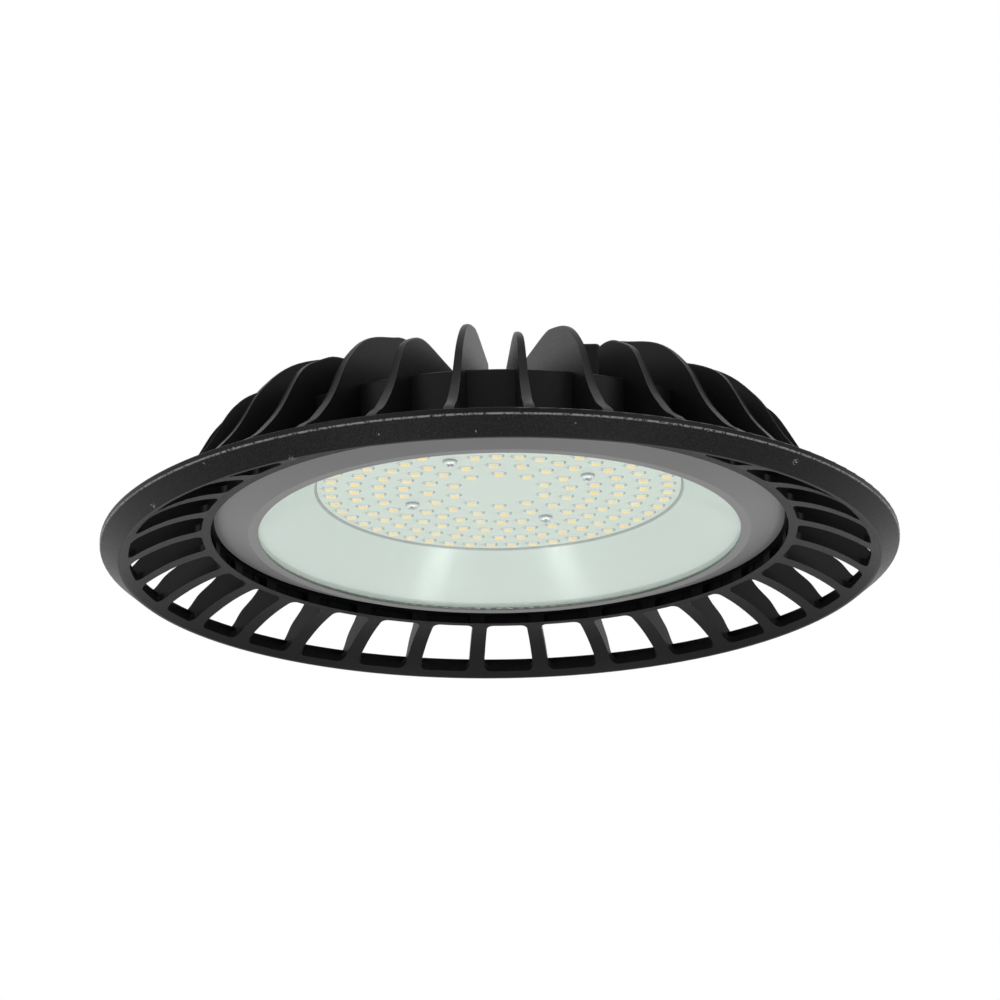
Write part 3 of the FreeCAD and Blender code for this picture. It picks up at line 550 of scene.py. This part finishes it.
LED_CORNER = 0.55 * MM     # the cut corner
LED_EDGE = 0.01 * MM       # what is cut from it where the package is square
LED_WALL_H = 0.06 * MM     # the moulded wall round the pool
PAD_UNDER = 0.1 * MM       # a solder pad's reach under the package, and out from it
PAD_OUT = 0.32 * MM
PAD_Y = 0.95 * MM          # its half width
PAD_T = 0.16 * MM


def add_block(form, low, high, material):
    corners = [form.verts.new((x, y, z)) for z in (low.z, high.z)
               for x, y in ((low.x, low.y), (high.x, low.y), (high.x, high.y), (low.x, high.y))]
    for face in ((3, 2, 1, 0), (4, 5, 6, 7), (0, 1, 5, 4), (1, 2, 6, 5), (2, 3, 7, 6), (3, 0, 4, 7)):
        form.faces.new([corners[i] for i in face]).material_index = material


def phosphor():
    pool = Finish("phosphor", srgb(250, 214, 128), 0.3, specular=0.5)
    island = pool.tree.nodes.new("ShaderNodeNewGeometry").outputs["Random Per Island"]
    shade = pool.mix(pool.spread(island, 0, 1), srgb(255, 204, 74), srgb(255, 224, 112))
    grain = pool.noise(4, 2)
    pool.color(pool.mix(pool.spread(grain, 0.35, 0.65, 0, 0.35), shade, srgb(252, 194, 70)))
    pool.bump(grain, 0.01)
    # Painted glow: a faint yellow emission that brightens the phosphor pools.
    pool.shader.inputs["Emission Color"].default_value = srgb(255, 208, 84)
    pool.shader.inputs["Emission Strength"].default_value = 0.34
    return pool.material


def add_led(form, low, high):
    """One package, its light side at the low end."""
    middle = (low + high) / 2

    def ring(half_x, half_y, corner, z):
        points = [(-half_x, -half_y), (half_x, -half_y), (half_x, half_y - corner),
                  (half_x - corner, half_y), (-half_x, half_y)]
        return [form.verts.new((middle.x + x, middle.y + y, z)) for x, y in points]

    half = (high - low) / 2
    face = low.z
    levels = [ring(half.x, half.y, LED_EDGE, high.z),
              ring(half.x, half.y, LED_EDGE, face + LED_WALL_H),
              ring(half.x - 0.06 * MM, half.y - 0.01 * MM, LED_EDGE, face),
              ring(half.x - 0.15 * MM, half.y - 0.02 * MM, LED_CORNER, face),
              ring(half.x - 0.24 * MM, half.y - 0.14 * MM, LED_CORNER, face + LED_WALL_H)]
    for upper, lower in zip(levels, levels[1:]):
        for i in range(5):
            j = (i + 1) % 5
            form.faces.new((upper[i], lower[i], lower[j], upper[j])).material_index = 0
    form.faces.new(levels[0]).material_index = 0
    pool = [ring(half.x - 0.16 * MM, half.y - 0.03 * MM, LED_CORNER, face + 0.01 * MM),
            ring(half.x - 0.2 * MM, half.y - 0.07 * MM, LED_CORNER, face - 0.24 * MM),
            ring(half.x - 0.36 * MM, half.y - 0.24 * MM, LED_CORNER, face - 0.3 * MM)]
    for upper, lower in zip(pool, pool[1:]):
        for i in range(5):
            j = (i + 1) % 5
            form.faces.new((upper[i], lower[i], lower[j], upper[j])).material_index = 1
    form.faces.new(pool[-1]).material_index = 1
    for side in (-1, 1):
        inner = middle.x + side * (half.x - PAD_UNDER)
        outer = middle.x + side * (half.x + PAD_OUT)
        add_block(form, Vector((min(inner, outer), middle.y - PAD_Y, high.z - PAD_T)),
                  Vector((max(inner, outer), middle.y + PAD_Y, high.z)), 2)


def leds():
    package = plain_finish("led_package", srgb(250, 250, 246), 0.35, grain=3, depth=0.004, change=0.03)
    # Painted glow: a faint white emission that lifts the moulded package.
    package_painted_glow = package.node_tree.nodes["Principled BSDF"]
    package_painted_glow.inputs["Emission Color"].default_value = srgb(255, 253, 240)
    package_painted_glow.inputs["Emission Strength"].default_value = 0.22
    solder = plain_finish("solder", srgb(214, 218, 216), 0.28, metal=0.8, grain=3)
    form = bmesh.new()
    for low, high in LED_BOXES:
        add_led(form, low, high)
    bmesh.ops.recalc_face_normals(form, faces=form.faces)
    return make_piece("led_packages", form, [package, phosphor(), solder], ["led_chips"])


leds()


# ---- Screws ------------------------------------------------------------------------------------
# Cross-recessed pan head machine screws, zinc plated and passivated bluish, with a darker teal painted shade
# in each recess and on each head's lower flank.  They hold the LED board, the lid and the driver board; the
# earth screw in the casting is brass.

HEAD_UPRIGHT = 0.3         # of a head's height, the upright flank
HEAD_CROWN = 0.7           # and the dome above it
HEAD_FLAT = 0.66           # of a head's radius, the flat of its crown
HEAD_DOME = 0.34           # and the rounded shoulder
HEAD_STEPS = 40
RECESS_DEPTH = 0.72        # of a head's height
SCREW_POINT = 0.5 * MM     # the chamfer at a screw's end


def add_turned(form, profile, steps, at):
    """Turns a profile of (radius, height) about an upright axis through a spot, closed at r = 0."""
    rings = []
    for radius, height in profile:
        z = at.z + height
        if radius < 1e-9:
            rings.append([form.verts.new((at.x, at.y, z))])
            continue
        ring = []
        for i in range(steps):
            angle = math.tau * i / steps
            ring.append(form.verts.new((at.x + radius * math.cos(angle), at.y + radius * math.sin(angle), z)))
        rings.append(ring)
    for low, high in zip(rings, rings[1:]):
        for i in range(steps):
            j = (i + 1) % steps
            if len(low) == 1 and len(high) == 1:
                continue
            if len(low) == 1:
                corners = [low[0], high[j], high[i]]
            elif len(high) == 1:
                corners = [low[i], low[j], high[0]]
            else:
                corners = [low[i], low[j], high[j], high[i]]
            form.faces.new(corners)


def cut_away(form, cutter):
    """Takes the cutter's solid out of the form and gives a new form back."""
    objects = []
    for part in (form, cutter):
        mesh = bpy.data.meshes.new("cut")
        bmesh.ops.recalc_face_normals(part, faces=part.faces)
        part.to_mesh(mesh)
        part.free()
        item = bpy.data.objects.new("cut", mesh)
        scene.collection.objects.link(item)
        objects.append(item)
    change = objects[0].modifiers.new("cut", "BOOLEAN")
    change.object = objects[1]
    change.operation = "DIFFERENCE"
    change.solver = "EXACT"
    bpy.context.view_layer.update()
    result = bmesh.new()
    result.from_object(objects[0], bpy.context.evaluated_depsgraph_get())
    for item in objects:
        bpy.data.objects.remove(item)
    return result


def cross_head(radius, height, shank_radius, shank_length, turn):
    """A pan head screw with a cross recess, head up, seat at z = 0; lengths in metres."""
    form = bmesh.new()
    crown = [(0, -shank_length), (shank_radius * 0.8, -shank_length),
             (shank_radius, SCREW_POINT - shank_length),
             (shank_radius, 0), (radius, 0), (radius, height * HEAD_UPRIGHT)]
    for i in range(1, 7):
        angle = math.pi / 2 * i / 6
        crown.append((radius * (HEAD_FLAT + HEAD_DOME * math.cos(angle)),
                      height * (HEAD_UPRIGHT + HEAD_CROWN * math.sin(angle))))
    crown.append((0, height))
    add_turned(form, crown, HEAD_STEPS, Vector((0, 0, 0)))
    cutter = bmesh.new()
    depth = height * RECESS_DEPTH
    for quarter in range(2):
        wing = []
        for z, reach, half in ((height - depth, radius * 0.26, radius * 0.09),
                               (height + 0.0002, radius * 0.74, radius * 0.19)):
            for x, y in ((-reach, -half), (reach, -half), (reach, half), (-reach, half)):
                spun = Matrix.Rotation(turn + quarter * math.pi / 2, 3, "Z") @ Vector((x, y, z))
                wing.append(cutter.verts.new(spun))
        for face in ((3, 2, 1, 0), (4, 5, 6, 7), (0, 1, 5, 4), (1, 2, 6, 5), (2, 3, 7, 6), (3, 0, 4, 7)):
            cutter.faces.new([wing[i] for i in face])
        if quarter == 0:
            form = cut_away(form, cutter)
            cutter = bmesh.new()
    form = cut_away(form, cutter)
    for face in form.faces:
        spot = face.calc_center_median()
        share = max((spot.xy.length / radius - HEAD_FLAT) / HEAD_DOME, 0)
        crown_z = height * (HEAD_UPRIGHT + HEAD_CROWN * math.sqrt(max(1 - share * share, 0)))
        # Faces in the cross recess and on the lower flank take the painted-shade zinc.
        in_recess = spot.xy.length < radius * 0.75 and 0 < spot.z < crown_z - height * 0.04
        on_flank = 0 < spot.z < height * 0.5 and spot.xy.length > radius * 0.9
        face.material_index = 1 if in_recess or on_flank else 0
    return form


def add_copy(form, source, place):
    """Adds a moved copy of a form to another form."""
    mesh = bpy.data.meshes.new("copy")
    source.to_mesh(mesh)
    mesh.transform(place)
    form.from_mesh(mesh)
    bpy.data.meshes.remove(mesh)


def zinc(name, color):
    plating = Finish(name, color, 0.24, metal=1.0)
    drift = plating.noise(0.6, 3)
    darker = tuple(part * 0.82 for part in color[:3]) + (1,)
    plating.color(plating.mix(drift, darker, color))
    fine = plating.noise(4, 3, 0.7)
    plating.rough(plating.spread(fine, 0.3, 0.7, 0.18, 0.34))
    plating.bump(fine, 0.006)
    return plating.material


ZINC = zinc("zinc", srgb(222, 230, 230))
# Painted shade: a dark teal copy of the zinc, for the cross recesses and the heads' lower flanks.
PAINTED_SHADE_ZINC = zinc("zinc_painted_shade", srgb(92, 112, 116))


def screws(node, name, up, finish, turn_step):
    """Replaces a node of pan head screws; the head is the wide part of each solid."""
    form = bmesh.new()
    mesh = nodes[node].data
    for number, pair in enumerate(solids(node)):
        low, high = pair
        radius = (high.x - low.x) / 2
        end = high.z if up else low.z
        middle = centre(pair)
        rims = [vert.co.z for vert in mesh.vertices
                if abs((vert.co.xy - middle.xy).length - radius) < radius * 0.03]
        seat = min(rims) if up else max(rims)
        height = abs(end - seat)
        inner = [(vert.co.xy - middle.xy).length for vert in mesh.vertices
                 if abs(vert.co.z - (low.z if up else high.z)) < 1e-6
                 and (vert.co.xy - middle.xy).length < radius]
        shank = max(inner)
        length = (high.z - low.z) - height
        turn = math.radians(20 + turn_step * number)
        head = cross_head(radius, height, shank, length, turn)
        place = Matrix.Translation((middle.x, middle.y, seat))
        if not up:
            place = place @ Matrix.Rotation(math.pi, 4, "X")
        add_copy(form, head, place)
        head.free()
    return make_piece(name, form, [finish, PAINTED_SHADE_ZINC], [node])


screws("board_screws", "board_screw_set", False, ZINC, 31)
screws("lid_screws", "lid_screw_set", True, ZINC, 47)
screws("driver_screws", "driver_screw_set", True, ZINC, 37)
screws("earth_screw", "earth_screw_set", True, zinc("brass_plate", srgb(205, 178, 112)), 0)


# ---- Fixings, seals and the parts on the lid ---------------------------------------------------
# Black-oxide steel studs, nuts and washers hold the bezel.  The seals are moulded grey silicone,
# and the cable gland and breather plug, screwed into the lid, are black nylon with rubber seals.

OXIDE = plain_finish("black_oxide", srgb(34, 34, 36), 0.38, metal=0.6, grain=1.5)
SILICONE = plain_finish("silicone", srgb(176, 178, 178), 0.55, grain=0.8)
NYLON = plain_finish("black_nylon", srgb(30, 30, 31), 0.46, specular=0.4, grain=1.5, depth=0.02)
RUBBER = plain_finish("black_rubber", srgb(24, 24, 24), 0.7, specular=0.25, grain=1.0, depth=0.02)

for name in ("bezel_studs", "bezel_washers", "bezel_nuts"):
    cover(name, OXIDE)
for name in ("glass_seal", "bezel_gasket", "lid_gasket"):
    cover(name, SILICONE)
for name in ("gland_body", "gland_nut", "gland_locknut", "vent_plug"):
    cover(name, NYLON)
for name in ("gland_seal", "lead_grommet"):
    cover(name, RUBBER)


# ---- Driver and the parts behind the board -----------------------------------------------------
# What a service engineer meets under the lid: a green glass-epoxy board on brass standoffs, its
# parts soldered in, and red silicone leads that run down through a grommet to the LED board.

cover("thermal_pad", plain_finish("thermal_pad", srgb(138, 141, 146), 0.6, grain=2, depth=0.02))
cover("board_connector", plain_finish("white_nylon", srgb(238, 236, 226), 0.4, grain=1.5))
cover("driver_board", plain_finish("green_mask", srgb(24, 92, 54), 0.3, grain=0.6, depth=0.01, change=0.25))
cover("driver_standoffs", zinc("brass", srgb(208, 176, 104)))
cover("insulating_sheet", plain_finish("polyester", srgb(226, 230, 224), 0.22, grain=0.4, depth=0.01))
cover("transformer_core", plain_finish("ferrite", srgb(52, 52, 55), 0.5, grain=2.5, depth=0.03))
cover("transformer_coil", plain_finish("coil_tape", srgb(222, 178, 46), 0.3, grain=0.5, depth=0.02))
cover("capacitors", plain_finish("capacitor_sleeve", srgb(34, 38, 52), 0.28, grain=0.7))
cover("inductor", zinc("enamelled_copper", srgb(196, 112, 62)))
cover("rectifier", plain_finish("black_epoxy", srgb(28, 28, 29), 0.5, grain=2))
cover("power_transistor", plain_finish("moulded_epoxy", srgb(30, 30, 32), 0.5, grain=2))
cover("terminal_block", plain_finish("green_nylon", srgb(34, 128, 78), 0.4, grain=1.5))
cover("led_leads", plain_finish("red_silicone", srgb(176, 38, 32), 0.45, grain=1.5))


# ---- Floor -------------------------------------------------------------------------------------
# A plain floor in pale matt paint, far below the hanging light.  Where glass or gloss mirrors
# it, it shows white, as the room does.

FLOOR_Z = -1.6
FLOOR_HALF = 2.5


def floor_paint():
    """Pale paint that shows white to reflections, as the room does."""
    paint = plain_finish("floor_paint", (0.82, 0.82, 0.82, 1), 0.7, grain=0.05, change=0.02)
    tree = paint.node_tree
    path = tree.nodes.new("ShaderNodeLightPath")
    shown = tree.nodes.new("ShaderNodeMath")
    shown.operation = "MAXIMUM"
    white = tree.nodes.new("ShaderNodeEmission")
    choice = tree.nodes.new("ShaderNodeMixShader")
    tree.links.new(path.outputs["Is Glossy Ray"], shown.inputs[0])
    tree.links.new(path.outputs["Is Transmission Ray"], shown.inputs[1])
    tree.links.new(shown.outputs[0], choice.inputs[0])
    tree.links.new(tree.nodes["Principled BSDF"].outputs[0], choice.inputs[1])
    tree.links.new(white.outputs[0], choice.inputs[2])
    tree.links.new(choice.outputs[0], tree.nodes["Material Output"].inputs["Surface"])
    return paint


def add_floor():
    form = bmesh.new()
    corners = ((-1, -1), (1, -1), (1, 1), (-1, 1))
    form.faces.new([form.verts.new((x * FLOOR_HALF, y * FLOOR_HALF, FLOOR_Z)) for x, y in corners])
    mesh = bpy.data.meshes.new("floor")
    form.to_mesh(mesh)
    form.free()
    mesh.materials.append(floor_paint())
    floor = bpy.data.objects.new("floor", mesh)
    scene.collection.objects.link(floor)


add_floor()
